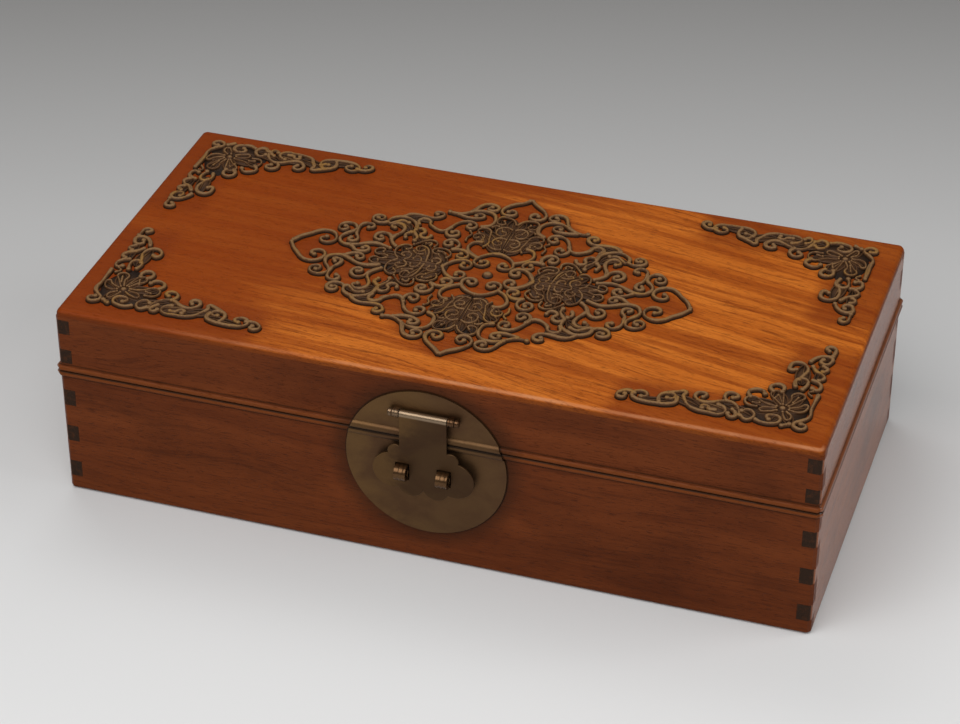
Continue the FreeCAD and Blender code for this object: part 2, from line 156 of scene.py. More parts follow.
def wood(finish, along, across, deep, pale, middle, dark, contrast):
    """Rosewood grain: slow figure, fine streaks along the board, and short open pores."""
    drift = finish.noise(along * 0.006, across * 0.022, deep * 0.022, 2.0)
    line = across + deep * 0.6 + drift * 34
    figure = finish.noise(along * 0.004, line * 0.085, drift * 2, 3.0, 0.55)
    streak = finish.noise(along * 0.021, line * 0.50, deep * 0.3, 5.0, 0.72)
    fibre = finish.noise(along * 0.045, line * 2.6, deep * 1.9, 4.0, 0.7)
    pores = finish.noise(along * 0.15, across * 1.9, deep * 1.9, 2.0, 0.6).step(0.59, 0.68)
    tone = finish.colours((figure * 0.55 + fibre * 0.45).step(0.34, 0.66), pale, middle)
    tone = finish.colours(streak.step(0.51, 0.66) * (0.85 * contrast), tone, dark)
    tone = finish.colours(pores * 0.5, tone, dark)
    return tone, fibre * 0.5 + streak * 0.3 - pores * 0.9


def turned_edges(body, least, most):
    """The edges at which the surface turns by an angle between two limits, in degrees."""
    return [edge for edge in body.edges
            if least < math.degrees(edge.calc_face_angle(0.0)) < most]


def rounded_over(body, edges, size, segments):
    bmesh.ops.bevel(body, geom=edges, offset=size, offset_type="OFFSET", segments=segments,
                    profile=0.5, affect="EDGES", material=-1, clamp_overlap=True)


def softened(name, fine=joint_round, wide=0.0):
    """A merged copy of a solid, its sharp edges just broken and its flat arrises rounded."""
    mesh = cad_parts[name].data.copy()
    body = bmesh.new()
    body.from_mesh(mesh)
    bmesh.ops.remove_doubles(body, verts=body.verts, dist=1e-6)
    bmesh.ops.dissolve_limit(body, angle_limit=math.radians(0.5), verts=body.verts, edges=body.edges)
    rounded_over(body, turned_edges(body, sharp_turn, 180.1), fine, 1)
    if wide:
        arrises = turned_edges(body, shallow_turn, sharp_turn)
        rounded_over(body, [edge for edge in arrises if edge.calc_length() > wide], wide, 3)
    bmesh.ops.recalc_face_normals(body, faces=body.faces)
    return finished(name + "_softened", body, mesh)


def finished(name, body, mesh=None, sharp=30):
    """A piece of the object, smooth where it turns by less than the sharp angle."""
    mesh = mesh or bpy.data.meshes.new(name)
    body.to_mesh(mesh)
    body.free()
    mesh.materials.clear()
    mesh.shade_smooth()
    mesh.set_sharp_from_angle(angle=math.radians(sharp))
    piece = bpy.data.objects.new(name, mesh)
    bpy.context.scene.collection.objects.link(piece)
    even = piece.modifiers.new("even shading", "WEIGHTED_NORMAL")
    even.weight = 100
    even.keep_sharp = True
    return piece


def fit(piece, body, finish, slot, *replaced):
    """Gives a piece its finish, its body and the nodes that it stands for."""
    piece.data.materials.clear()
    piece.data.materials.append(finish.material)
    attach(piece, body)
    if replaced:
        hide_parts(*replaced)


# The front and back boards' tints are a darker copy of the top's wood, as painted shade.
case_pale = (0.155, 0.037, 0.009)
case_middle = (0.108, 0.024, 0.006)
case_dark = (0.040, 0.009, 0.003)
# The side boards' tints are a paler copy of the same wood, as painted sheen.
side_sheen_pale = (0.300, 0.080, 0.012)
side_sheen_middle = (0.205, 0.050, 0.008)
# Dark end grain; the same tint serves as painted shade in the seam and the quirks.
end_grain_and_seam_shade = (0.024, 0.010, 0.004)
# The bead tint is a painted highlight.
bead_highlight = (0.170, 0.045, 0.010)
grain_depth = 0.00012
bead_edge = 3.2
quirk_place = 3.7
seam_shade_edge = 1.1
grime_reach = 20.5


def case_finish(name, sideways):
    """Waxed boards: a painted highlight along the bead, painted shade black in the seam and the quirks,
    grimy round the lock plate and darker in a thin line at its edge.
    """
    finish = Finish(name)
    x, y, z = finish.millimetres()
    along, across = (y, x) if sideways else (x, y)
    # The side boards take the paler tints, a painted sheen.
    pale, middle = (side_sheen_pale, side_sheen_middle) if sideways else (case_pale, case_middle)
    tone, height = wood(finish, along, z, across, pale, middle, case_dark, 0.4)
    stain = finish.noise(x * 0.011, y * 0.011, z * 0.02, 4.0, 0.6)
    tone = finish.colours(stain.step(0.45, 0.75) * 0.5, tone, case_dark)
    from_seam = abs(z - seam_height)
    bead = from_seam.step(bead_edge, bead_edge - 0.6)
    # Painted highlight along the two beads.
    tone = finish.colours(bead * 0.75, tone, bead_highlight)
    # Painted shade in the quirk beside each bead and, on the outside, black in the seam between lid and
    # box.
    quirk = abs(from_seam - quirk_place).step(0.9, 0.1) * 0.6
    outside = (abs(x) - (half_length - 0.4)).larger(abs(y) - (half_width + 0.6)).step(-0.6, 0.2)
    seam_painted_shade = from_seam.step(seam_shade_edge, 0.4) * outside * 0.92
    tone = finish.colours(seam_painted_shade.larger(quirk), tone, end_grain_and_seam_shade)
    if sideways:
        end = abs(y).step(half_width - 1.4, half_width - 0.6) * (1 - bead)
        rays = finish.noise(x * 0.5, y * 0.5, z * 0.5, 4.0, 0.65)
        tone = finish.colours(end * (0.6 + 0.8 * rays).smaller(1.0), tone, end_grain_and_seam_shade)
        finish.surface(coat_weight=(1 - end) * 0.54, coat_roughness=0.24, coat_ior=1.6,
                       roughness=0.42 + 0.4 * end, specular_ior_level=0.2)
    else:
        around = finish.node("ShaderNodeCombineXYZ", {}, {0: x, 1: 0.0, 2: z - plate_middle})
        from_middle = finish.node("ShaderNodeVectorMath", {"operation": "LENGTH"}, {0: around}, "Value")
        beyond = from_middle - plate_radius
        # Darker in a ring of grime round the plate, and in a thin line on the board right at its edge.
        grime_and_edge_line = (beyond + stain * 14).step(grime_reach, 7.5) * 0.6
        grime_and_edge_line = grime_and_edge_line.larger(beyond.step(1.4, 0.6) * 0.9) * y.step(3 - half_width, 1 - half_width)
        tone = finish.colours(grime_and_edge_line, tone, end_grain_and_seam_shade)
        finish.surface(roughness=0.40, specular_ior_level=0.06)
    finish.surface(base_color=tone, normal=finish.relief(height, grain_depth))
    return finish


lengthwise = case_finish("case wood along the front", False)
crosswise = case_finish("case wood along the sides", True)
for body in ("box", "lid"):
    for side in ("front", "back", "left", "right"):
        name = body + "_" + side + "_board"
        finish = crosswise if side in ("left", "right") else lengthwise
        fit(softened(name, wide=arris_round), body, finish, "case_wood", name)

# The top board: one wide plank of the same wood, its tints a paler, more orange copy painted as lit
# from above, darker to the left and back with painted shade, dark round the ornaments, and pale
# along its front arris with painted highlight and wear.
# The top's tints are a paler, more orange copy of the boards' wood, painted as lit from above.
top_pale = (0.57, 0.158, 0.018)
top_middle = (0.38, 0.084, 0.007)
top_dark = (0.110, 0.018, 0.002)
top_red = (0.215, 0.034, 0.002)
patina = (0.185, 0.030, 0.003)
# Tint of the painted highlight and wear on the front arris.
edge_wear_and_highlight = (0.52, 0.215, 0.095)
medallion_length = 108.5
medallion_breadth = 79.0
corner_x = 189.0
corner_y = 88.5
long_arm = 97
short_arm = 79
arm_breadth = 22


def top_finish():
    """Bright grain that curves across the plank, with old dirt against the ornaments."""
    finish = Finish("top wood")
    x, y, z = finish.millimetres()
    across = y + x * 0.13 + x * x * 0.00029
    tone, height = wood(finish, x, across, z, top_pale, top_middle, top_dark, 0.75)
    mottle = finish.noise(x * 0.03, y * 0.05, z * 0.05, 5.0, 0.62)
    stripe = finish.noise(x * 0.007, across * 0.17 + mottle * 0.5, z * 0.05, 3.0, 0.6)
    tone = finish.colours(stripe.step(0.45, 0.60) * 0.56, tone, top_red)
    fleck = finish.noise(x * 0.22, across * 1.1, z * 0.5, 3.0, 0.7)
    tone = finish.colours(fleck.step(0.60, 0.70) * 0.5, tone, top_dark)
    band = finish.noise(x * 0.004, across * 0.045 + mottle * 0.4, z * 0.045, 4.0, 0.6)
    # Broad redder bands, with painted shade darkening the plank towards the left and the back.
    bands_and_painted_shade = (band * 1.1 - mottle * 0.3 - x * 0.0048 + y * 0.0030).step(0.34, 0.85)
    tone = finish.colours(bands_and_painted_shade * 0.85, tone, top_red)
    inside = abs(x) * (1 / medallion_length) + abs(y) * (1 / medallion_breadth) + mottle * 0.12
    from_x = corner_x - abs(x)
    from_y = corner_y - abs(y)
    lengthways = (from_x + mottle * 16).step(long_arm + 13, long_arm)
    lengthways = lengthways * (from_y + mottle * 12).step(arm_breadth + 12, arm_breadth)
    crossways = (from_y + mottle * 16).step(short_arm + 13, short_arm)
    crossways = crossways * (from_x + mottle * 12).step(arm_breadth + 12, arm_breadth)
    dirt = (inside.step(1.16, 1.02) * 0.75).larger(lengthways.larger(crossways) * 0.7)
    drop = top_face - z
    tone = finish.colours(dirt * drop.step(2.2, 0.9), tone, patina)
    # A painted highlight, with some wear, along the rounded front arris, stronger towards the right.
    wear_and_painted_highlight = drop.step(0.05, 0.4) * drop.step(1.7, 0.8) * (x + mottle * 60).step(-150, 60)
    wear_and_painted_highlight = wear_and_painted_highlight * y.step(7 - half_width, 1 - half_width)
    tone = finish.colours(wear_and_painted_highlight * (mottle * 1.3 - 0.1), tone, edge_wear_and_highlight)
    # Below the rounding, the plank's edges take the boards' darker tint, as painted shade.
    tone = finish.colours(drop.step(0.9, 2.2) * 0.76, tone, case_middle)
    finish.surface(base_color=tone, roughness=0.40, specular_ior_level=0.06,
                   normal=finish.relief(height, grain_depth))
    return finish


fit(softened("lid_top_board"), "lid", top_finish(), "top_wood", "lid_top_board")

# The bottom panel, the partition and the dividers inside. They are plain paler wood, planed
# and left without wax; the panel is tongued into the boards, the rest slides into housings.
inner_pale = (0.42, 0.22, 0.095)
inner_middle = (0.31, 0.145, 0.060)
inner_dark = (0.13, 0.055, 0.024)
inner_grain_depth = 0.00014
planed_edge = 0.0004


def inner_finish(name, sideways):
    finish = Finish(name)
    x, y, z = finish.millimetres()
    along, across = (y, x) if sideways else (x, y)
    tone, height = wood(finish, along, across, z, inner_pale, inner_middle, inner_dark, 0.8)
    finish.surface(base_color=tone, roughness=0.62, normal=finish.relief(height, inner_grain_depth))
    return finish


plain_wood = inner_finish("inner wood", False)
cross_wood = inner_finish("inner wood across", True)
fit(softened("box_bottom_panel"), "box", plain_wood, "inner_wood", "box_bottom_panel")
fit(softened("stone_partition", planed_edge), "box", cross_wood, "inner_wood", "stone_partition")
for name in ("stick_divider_1", "stick_divider_2"):
    fit(softened(name, planed_edge), "box", plain_wood, "inner_wood", name)

# The carved ornaments: a medallion of scrolling vine with four lotus flowers, and a corner
# piece in each corner of the lid. They are cut from dense dark wood about three millimetres
# thick and glued on. Ribbons stand up as round ridges, with painted shade low in the hollows
# and pale crests of painted highlight and wear.
ribbon_half = 1.5
ribbon_rise = 1.7
vein_half = 0.32
rim_half = 0.55
flower_half = 0.8
flower_lift = 0.7
petal_rise = 0.32
ground_rise = 0.10
relief_height = 2.6


class Carving:
    """One ornament drawn in plan, in millimetres, and raised from the top of the lid."""

    def __init__(self, name, seed):
        self.name = name
        self.chance = random.Random(seed)
        self.sets = {}
        self.origin = Vector((0.0, 0.0))
        self.sides = (1, 1)

    def spline(self, kind, count, rise, segments):
        """A new spline among those that are raised alike."""
        if (rise, segments) not in self.sets:
            curve = bpy.data.curves.new(self.name, "CURVE")
            curve.dimensions = "3D"
            curve.resolution_u = 4
            curve.bevel_depth = 1.0
            curve.bevel_resolution = segments
            curve.use_fill_caps = True
            curve.twist_mode = "Z_UP"
            self.sets[(rise, segments)] = curve
        spline = self.sets[(rise, segments)].splines.new(kind)
        points = spline.bezier_points if kind == "BEZIER" else spline.points
        points.add(count - 1)
        return points

    def placed(self, place, lift=0.0):
        x = (self.origin.x + place[0]) * self.sides[0]
        y = (self.origin.y + place[1]) * self.sides[1]
        return Vector((x, y, lift))

    def stroke(self, line, halves, rise, segments=3):
        """A ridge along a line, as wide as it is told and as high as that times the rise."""
        points = self.spline("POLY", len(line), rise, segments)
        for point, place, half in zip(points, line, halves):
            point.co = (*self.placed(place, place[2] / rise if len(place) > 2 else 0.0), 1)
            point.radius = half

    def ribbon(self, *places, half=ribbon_half, lift=0.0):
        """A round ribbon that bends smoothly through its places, with a bead at each end."""
        shake = self.chance.uniform
        points = self.spline("BEZIER", len(places), ribbon_rise, 2)
        places = [Vector(place) + Vector((shake(-0.2, 0.2), shake(-0.2, 0.2))) for place in places]
        for i, (point, place) in enumerate(zip(points, places)):
            point.handle_left_type = "AUTO"
            point.handle_right_type = "AUTO"
            point.co = self.placed(place, lift / ribbon_rise)
            point.radius = half * (1.0 - 0.15 * i / len(places)) * shake(0.8, 1.08)
        self.boss(places[0], half, ribbon_rise, lift)
        self.boss(places[-1], half * 1.08, ribbon_rise, lift)

    def petal(self, foot, tip, breadth, bow=0.0, veins=3):
        """A domed petal from its foot to its tip, with raised veins along it."""
        foot, tip = Vector(foot), Vector(tip)
        along = tip - foot
        across = Vector((-along.y, along.x)).normalized()
        shares = [i / 10 for i in range(11)]
        swell = [max(0.12, math.sin(math.pi * share ** 0.8) ** 0.7) * breadth / 2 for share in shares]
        middle = [foot + along * share + across * 4 * bow * share * (1 - share) for share in shares]
        self.stroke(middle, swell, petal_rise)
        for k in range(veins):
            lean = 0.88 * (2 * k / (veins - 1) - 1)
            height = petal_rise * math.sqrt(1 - lean * lean)
            line = [(*(place + across * lean * half), height * half + 0.1)
                    for place, half in zip(middle, swell)]
            broad = rim_half if k in (0, veins - 1) else vein_half
            self.stroke(line, [broad] * len(line), 1.6, 1)

    def ground(self, foot, tip, breadth):
        """A low swelling of uncut wood that carries the petals above it."""
        middle = [Vector(foot).lerp(Vector(tip), i / 12) for i in range(13)]
        halves = [max(0.3, math.sin(math.pi * i / 12) ** 0.6) * breadth / 2 for i in range(13)]
        self.stroke(middle, halves, ground_rise)

    def boss(self, centre, radius, rise, lift=0.0):
        """A round bead."""
        centre = Vector(centre)
        line = [(centre.x - radius * math.cos(math.pi * i / 6), centre.y, lift) for i in range(7)]
        halves = [max(0.05, radius * math.sin(math.pi * i / 6)) for i in range(7)]
        self.stroke(line, halves, rise, 2)

    def raised(self):
        """All the strokes as one mesh that stands on the lid, with flat undersides."""
        body = bmesh.new()
        for (rise, segments), curve in self.sets.items():
            strokes = bpy.data.objects.new(self.name, curve)
            bpy.context.scene.collection.objects.link(strokes)
            evaluated = strokes.evaluated_get(bpy.context.evaluated_depsgraph_get())
            mesh = bpy.data.meshes.new_from_object(evaluated)
            bpy.data.objects.remove(strokes)
            for vertex in mesh.vertices:
                vertex.co.z = max(0.0, vertex.co.z * rise)
            body.from_mesh(mesh)
            bpy.data.meshes.remove(mesh)
        bmesh.ops.translate(body, verts=body.verts, vec=(0.0, 0.0, top_face))
        bmesh.ops.scale(body, verts=body.verts, vec=(0.001, 0.001, 0.001))
        bmesh.ops.recalc_face_normals(body, faces=body.faces)
        return finished(self.name, body, sharp=75)


# The crest tints are painted highlight and wear; the hollow tint is painted shade and grime.
ornament_crest = (0.225, 0.122, 0.050)
ornament_gold = (0.270, 0.135, 0.034)
ornament_flank = (0.086, 0.037, 0.014)
ornament_shade_and_grime = (0.014, 0.007, 0.004)


def ornament_finish():
    """Near black in the hollows as painted shade and grime, brown on the flanks, and pale along the
    crests as painted highlight and wear.
    """
    finish = Finish("ornament wood")
    x, y, z = finish.millimetres()
    height = (z - top_face) * (1 / relief_height)
    patch = finish.noise(x * 0.07, y * 0.07, z * 0.1, 3.0, 0.6)
    speck = finish.noise(x * 0.9, y * 0.9, z * 0.9, 4.0, 0.65)
    crest = finish.colours(patch.step(0.5, 0.68), ornament_crest, ornament_gold)
    # Painted shade low on each ribbon, lighter up the flanks.
    tone = finish.colours(height.step(0.12, 0.66), ornament_shade_and_grime, ornament_flank)
    # Painted highlight, with wear, along the crests.
    speckled_height = height + (speck - 0.5) * 0.45
    wear_and_painted_highlight = speckled_height.step(0.56, 0.8) * (1 - 0.55 * speckled_height.step(0.84, 0.98))
    tone = finish.colours(wear_and_painted_highlight * 0.95, tone, crest)
    finish.surface(base_color=tone, roughness=0.42, specular_ior_level=0.12,
                   normal=finish.relief(speck, 0.0002))
    return finish


vine = [
    [(108.2, 0.8), (105.2, 6.1), (101.4, 10), (98, 13.8), (94, 15.7), (89.8, 14.6), (87.2, 11.2),
     (87.1, 7), (90, 4.2), (93.4, 4.8), (94.6, 7.8), (92.4, 9.4)],
    [(56.6, 8.8), (61, 10.4), (64.8, 11.2), (69.2, 9.9), (73.6, 7.3), (78, 5.6), (82, 6.2),
     (84.6, 8.9), (85, 12.6), (83.4, 16), (81, 18.8), (80.2, 22), (81.5, 25.2), (84.6, 26.6),
     (88, 25.4), (89.8, 22.4), (88.6, 19.4), (85.6, 19.2), (84.8, 21.8), (86.4, 22.8)],
    [(79.6, 12.6), (80.6, 10.4), (78.4, 9.2), (76.4, 11), (76.6, 14), (78.4, 17), (79, 20.4),
     (79.2, 24.4), (78.2, 27.8), (75.4, 29.7), (72.6, 28.5), (72.2, 25.9), (74.2, 25)],
    [(77.6, 5.2), (75.6, 3.6), (73.2, 1.6), (70, 1), (67.2, 2.6), (67.2, 5.4), (69.4, 6.2),
     (70.4, 4.3)],
    [(54.3, 11.7), (56.8, 14), (58.8, 17), (60.4, 20.8), (63.8, 22.8), (67, 21.5), (68.2, 18.4),
     (66.8, 15.4), (64, 15), (63.4, 17.4), (65, 18.4)],
    [(58.9, 17.4), (58.6, 20.6), (57, 23.8), (55.6, 27.2), (56.1, 31.4), (59.2, 33.8),
     (62.3, 32.7), (63, 30.3), (61, 29)],
    [(49.8, 30.6), (50.8, 35.8), (54.6, 39.5), (59.6, 41.2), (63.8, 39.5), (66.4, 36),
     (65.4, 32.8), (62.6, 34.6), (59.4, 37), (55.6, 36)],
    [(66.6, 33.4), (69, 31.9), (72.4, 31.8), (75.2, 34.2), (75, 37.6), (72, 39.2), (69.6, 37.4),
     (70.8, 35.2), (72.6, 36)],
    [(60, 41.8), (57.6, 44.6), (53.6, 45.8), (49, 45.2), (44.4, 45), (41, 47), (40.4, 50.2),
     (43, 52), (45.2, 50.4), (43.8, 49)],
    [(50.2, 36.4), (51.2, 40), (48.6, 42.8), (45.2, 41.2), (44.2, 38.2), (41.4, 35.6),
     (38.4, 34), (35.4, 34.4), (33.7, 36.8), (32.2, 40.4), (30.6, 43.8), (27.6, 46.8),
     (23.8, 47.5), (20.6, 45.3), (20.5, 41.8), (23.2, 40.4), (25.2, 42.2), (24, 44.2)],
    [(32.8, 38.4), (33.8, 35.6), (33.2, 32.2), (30.6, 29.8), (27.7, 30.9), (26.8, 33.8),
     (28.8, 35.8), (30.6, 34)],
    [(17.2, 44), (13.6, 46.4), (12.4, 50), (12.8, 54.6), (15.4, 58.4), (19.8, 60), (24.4, 59),
     (28.2, 56.2), (31.8, 53.8), (35.6, 53.2), (38.4, 54)],
    [(33, 52.6), (29.4, 51.4), (25.4, 51), (21.4, 51.8), (19.4, 54.2), (21, 56.6), (23.8, 56),
     (23.6, 53.9)],
    [(27.4, 57), (25.8, 60.4), (24.4, 64.2), (21.8, 67.2), (18, 67.9), (14.8, 65.8), (14.8, 62.6),
     (17.8, 61.4), (19.8, 63.3), (18.2, 65)],
    [(0.6, 77.9), (3.4, 74.8), (7.2, 71.8), (10.4, 68.4), (12, 64.4), (10.9, 60.7), (7.8, 59.1),
     (4.7, 60.5), (4.3, 63.6), (6.8, 65.2), (8.3, 63.3)],
    [(24.4, 0.4), (22.7, 4), (19.6, 7.5), (15.8, 9.4), (12, 8), (11, 4.6), (13.4, 2.5), (16, 3.8),
     (15.2, 6)],
    [(0, 20.6), (3.6, 19.6), (7.4, 16.9), (10, 13.1), (10.2, 9), (7.2, 6.7), (3.9, 7.6), (3.2, 10.6),
     (5.4, 12), (6.9, 10.3)],
    [(25, 17.6), (21.4, 18.6), (17.6, 17.6), (15.3, 14.7), (15.8, 11.5), (19, 10.6), (20.7, 12.7),
     (19, 14.6)],
    [(24.4, 17.8), (22.9, 20.8), (23.6, 24.6), (26.8, 27), (30.2, 25.7), (31, 22.2), (28.7, 20.3),
     (26.7, 22), (27.8, 24)],
    [(10.4, 14), (14.6, 16.8), (17.2, 20.4), (17.8, 24.6), (16, 28.2), (12.8, 29.2)],
    [(40.2, 26.8), (41.2, 24.2), (44, 23.8), (45.6, 26.2), (44.2, 28.8), (45.4, 31.8), (48.4, 32.2),
     (50.2, 29.6), (48.6, 26.4), (46.6, 23.2), (46.8, 19.8)],
    [(52.4, 21.4), (53.4, 24.6), (51.2, 27.2)],
]
flower = [
    [(25.4, 8.4), (24, 11.6), (26.4, 15.4), (30.4, 16.8), (34, 15), (33.4, 11.4), (30.2, 10.2)],
    [(34.2, 1), (34.8, 6), (35.8, 11), (38.2, 15), (42, 15.8), (43.4, 12.4), (41, 10.2),
     (38.8, 12)],
    [(34.6, 16.8), (34.4, 20.8), (37.2, 23), (41, 21.6), (43.6, 18.8), (45.8, 16)],
    [(49.6, 0.8), (52.4, 4.6), (53, 9.4), (51.2, 13.6), (47.6, 14.8), (46, 12.2), (48, 10.2)],
    [(45.4, 0.8), (43.4, 3.6), (44.4, 7), (47.6, 7.2), (48.8, 4.6), (46.9, 3.6)],
    [(55, 0.8), (58.2, 2.2), (61.4, 1.4), (63.2, 4), (61.6, 7), (58.4, 6.8), (58.6, 4.4)],
    [(28, 0.8), (27, 3.8), (29, 6.4), (31.8, 5), (31, 2.4)],
    [(36.8, 1), (37.6, 4.4), (40.4, 5.4), (41.4, 2.6)],
    [(26.8, 11.6), (29, 13.8), (31.4, 13.4)],
    [(37.2, 17.2), (37.4, 19.8), (40.2, 18.8)],
    [(38.2, 8), (41.4, 8), (43.6, 9.6)],
    [(10.6, 25.4), (8.8, 28.6), (9.6, 33), (10.4, 37.4), (11.6, 41.6), (15, 43.4), (18, 41),
     (16.6, 38)],
    [(13.4, 31.2), (12.8, 34.8), (15.4, 37.2), (18.6, 35.6), (17.8, 32.2), (15.6, 33)],
    [(0.6, 51.6), (2.6, 55.2), (6.4, 57.2), (10.2, 56.6), (11.4, 52.8), (9.4, 49.6), (6.4, 50.6),
     (7.4, 53)],
    [(1, 46), (4.2, 47.4), (7.4, 45.6), (8.4, 41.6), (6.6, 38.4), (3.4, 38.8), (3.2, 42),
     (5.4, 42.6)],
    [(1, 35.6), (4.4, 36), (7, 33.2), (6.6, 29.8), (3.6, 28.8), (2.6, 31.6), (4.4, 32.6)],
    [(1, 25), (4, 24.2), (7, 25.4), (9, 28)],
    [(21, 28.2), (21.6, 32), (20.2, 35.4), (21.8, 38)],
    [(12, 45.6), (10.4, 47.4), (8.6, 47.2)],
]
flower_petals = [
    ((24.5, 4), (34, 16), 8, -0.8), ((34, 3), (41, 21), 8, -0.6), ((42, 3), (51, 13), 8, 0.8),
    ((46, 1.5), (62, 4), 7, 0.4), ((26, 1.5), (42, 2), 6, 0.0), ((2, 22), (9, 35), 8, -0.6),
    ((3, 30), (15, 42), 8, 0.6), ((3, 38), (10, 55), 8, -0.4), ((10, 27), (18, 40), 8, 0.4),
    ((1, 44), (3, 57), 7, 0.0), ((52, 29), (65, 35), 7, 2.4), ((44, 42), (58, 42), 5, 0.6),
    ((44, 19), (51, 31), 5.5, 0.6), ((0.5, 24), (1, 50), 8, 0.0), ((22, 1), (52, 1), 7, 0.0),
]
ornament = ornament_finish()
medallion = Carving("medallion_carving", 11)
for sides in ((1, 1), (-1, 1), (-1, -1), (1, -1)):
    medallion.sides = sides
    medallion.ground((24, 2), (62, 4), 15)
    medallion.ground((2, 21), (5, 57), 17)
    for petal in flower_petals:
        medallion.petal(*petal)
    for places in vine:
        medallion.ribbon(*places)
    for places in flower:
        medallion.ribbon(*places, half=flower_half, lift=flower_lift)
medallion.boss((0, 0), 3.0, 0.8)
fit(medallion.raised(), "lid", ornament, "ornament_wood", "medallion")

corner_vine = [
    [(87.2, 7.2), (90.8, 8.2), (94, 6.8), (95.4, 4.2), (93.8, 2), (91.2, 2.6), (91.6, 4.8)],
    [(66.8, 9.6), (66.4, 5.2), (70, 2.6), (76, 1.9), (82, 2), (86.6, 3.4), (88.4, 6.8),
     (86.4, 9.6), (82.6, 9.6), (81.2, 6.8), (83.6, 5.4)],
    [(74.2, 3.6), (75.2, 8), (73.4, 11.4), (70, 12.4), (67.6, 10.2), (69, 7.8), (71.2, 8)],
    [(72, 12), (67.6, 14.6), (63.8, 15.8), (64.2, 12), (62.2, 8.2), (60, 4.8), (55.4, 2.6),
     (49.4, 2), (44, 2.2), (41.6, 5), (43, 8.4), (45.8, 9.8)],
    [(54.8, 14), (53.6, 16.6), (56.4, 18), (58.8, 15.4), (57.4, 11.6), (53.8, 9.8), (49.6, 11.1),
     (45.6, 13.6), (41.4, 14.4), (38, 12.4), (35.6, 8.8), (34.6, 4.6)],
    [(43.4, 14.4), (45, 18), (43.6, 21.2), (40.4, 21.8), (38.6, 19.4), (40.6, 17.6)],
    [(46.4, 5), (49.4, 5), (50.8, 7.4), (53.6, 6.8), (53, 4.6)],
    [(38.6, 8), (36.4, 5.6), (36.6, 2.4), (39, 2), (40, 3.9)],
    [(4.8, 72.4), (6.4, 74.4), (4.6, 76.2), (2.2, 75), (1.9, 71.6), (2, 68)],
    [(11.6, 60.4), (9.6, 64.4), (6, 67.2), (2.2, 66.4), (1.9, 62.4), (4.2, 60), (7, 61.4),
     (6.2, 64)],
    [(17, 51.6), (19.4, 50.4), (20.6, 53.6), (19.4, 57), (16.2, 58.2), (13, 56.4), (11.4, 52.2),
     (12.2, 47.6), (14, 43.2)],
    [(14.2, 36.8), (15.2, 41.4), (13, 44.6), (9.6, 43.8), (8.8, 39.6), (10.2, 35.4)],
    [(7, 44.4), (3.4, 42.8), (2, 39.4), (3.4, 36.2), (6, 37.4)],
    [(9.6, 56.6), (7, 52.6), (3.6, 50.8), (2, 47.4), (4.4, 45)],
    [(4.6, 58.2), (2, 55.4), (4.2, 53.2)],
    [(1.9, 32.4), (2, 26), (2.2, 20), (2, 13), (4.6, 9), (8, 5.6), (6.4, 2.4), (2.6, 2.2), (2, 5.6),
     (4.6, 6.2)],
    [(23.4, 29.6), (25.4, 32.2), (24.4, 35.4), (21.4, 36.2), (18.8, 34), (19.2, 30)],
    [(33, 21.8), (34.8, 25.4), (32, 28.6), (28.6, 28.6), (26.8, 26)],
    [(33.8, 4.4), (31, 2), (28, 4.2), (28.2, 8.6), (31.6, 10.4), (34, 8.4)],
    [(26, 3.4), (23, 2), (18.4, 2.2), (15, 4.4), (15.4, 8.6), (18.8, 9.8), (21.8, 7.8),
     (20, 5.4)],
    [(13, 2.2), (9.8, 4.2)],
]
corner_flower = [
    [(28.4, 14.4), (33.2, 14.8), (34.8, 19.4), (31.6, 22.4), (27.8, 20.4), (24.6, 18.4),
     (19, 17.4)],
    [(17.6, 19.4), (20.4, 22.8), (23.8, 26.6), (22.8, 30), (18.8, 29.6), (17.6, 25.6),
     (16.4, 19.6)],
    [(14.8, 19.6), (13.2, 24.6), (13.6, 29), (10.4, 31.4), (7.4, 28.8), (9.6, 24.8), (13.4, 18.6)],
    [(12.6, 17.4), (8.4, 19.4), (5, 22.6), (4.6, 18.4), (7.4, 15.4), (12.4, 15.6)],
    [(13.2, 13.8), (10.2, 10.6), (11.4, 7.2), (14, 10), (15.2, 13.4)],
    [(18.2, 14), (21.6, 12), (26, 11.6), (25.2, 14.4), (19.2, 15.6)],
    [(4.8, 30.6), (6.8, 33.4), (4.8, 35)],
    [(21.4, 23.2), (20.2, 26.8)], [(30.8, 17), (27.6, 17.6)], [(10.6, 27.6), (12, 22.6)],
]
corner_petals = [
    ((54, 6), (72, 12), 7, 0.0), ((66, 6), (86, 4), 6, -0.6), ((40, 6), (58, 10), 8, 0.6),
    ((12, 40), (14, 58), 8, 0.0), ((6, 44), (4, 66), 5, 0.4), ((28, 6), (44, 12), 7, 0.0),
    ((18, 18), (34, 20), 7, 0.0), ((16, 18), (22, 32), 8, 0.0), ((13, 18), (9, 32), 7, 0.0),
    ((13, 15), (3, 22), 6, 0.0), ((14, 14), (9, 4), 6, 0.0), ((18, 14), (28, 10), 6, 0.0),
    ((16, 13), (20, 4), 6, 0.0),
]
corner_boss = (15.8, 16.6)
corner_seed = 21
for y_name, y_side in (("front", -1), ("back", 1)):
    for x_name, x_side in (("left", -1), ("right", 1)):
        place = y_name + "_" + x_name
        corner = Carving("corner_carving_" + place, corner_seed)
        corner_seed += 1
        corner.origin = Vector((-corner_x, -corner_y))
        corner.sides = (-x_side, -y_side)
        corner.ground((3, 10), (36, 12), 18)
        corner.ground((12, 3), (14, 36), 20)
        for petal in corner_petals:
            corner.petal(*petal)
        for places in corner_vine:
            corner.ribbon(*places)
        for places in corner_flower:
            corner.ribbon(*places, half=flower_half, lift=flower_lift)
        corner.boss(corner_boss, 2.0, 1.2)
        fit(corner.raised(), "lid", ornament, "ornament_wood", "corner_ornament_" + place)

